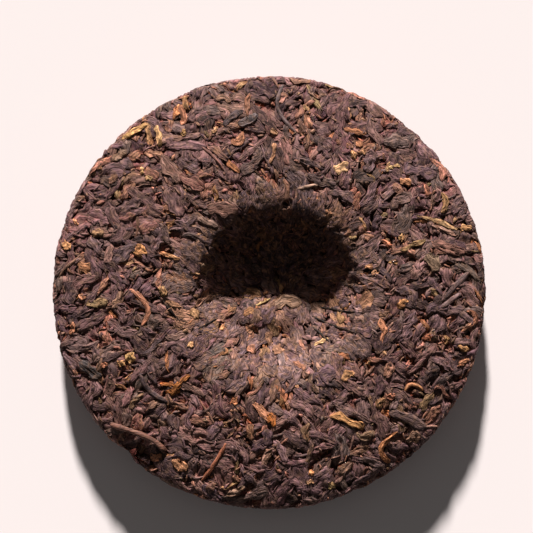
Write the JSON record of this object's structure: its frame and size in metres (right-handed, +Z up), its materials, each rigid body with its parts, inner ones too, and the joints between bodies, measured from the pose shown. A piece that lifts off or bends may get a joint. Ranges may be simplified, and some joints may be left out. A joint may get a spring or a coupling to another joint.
{
  "type": "pu erh tea cake",
  "caption": "Round disc of pressed ripe tea leaves with a rounded rim and a knot dimple in its upper face; lies flat on its gently domed side.",
  "frame": {"origin": "middle of the cake, on the flat spot that it rests on", "axes": "+Z up out of the dimpled side, +Y towards the picture's top and +X towards its right"},
  "size_m": [0.1984, 0.199, 0.0249],
  "materials": {
    "dark_leaf": "matte, almost black brown leaf pressed hard, with a faint grey sheen on its ridges",
    "brown_leaf": "matte reddish brown leaf with fine grooves along it",
    "golden_leaf": "matte golden to orange tips and buds with a fine down along them",
    "stalk": "smooth dull brown stalks with a soft sheen"
  },
  "bodies": {
    "root": {"tea_cake": "dark_leaf"}
  },
  "joints": []
}
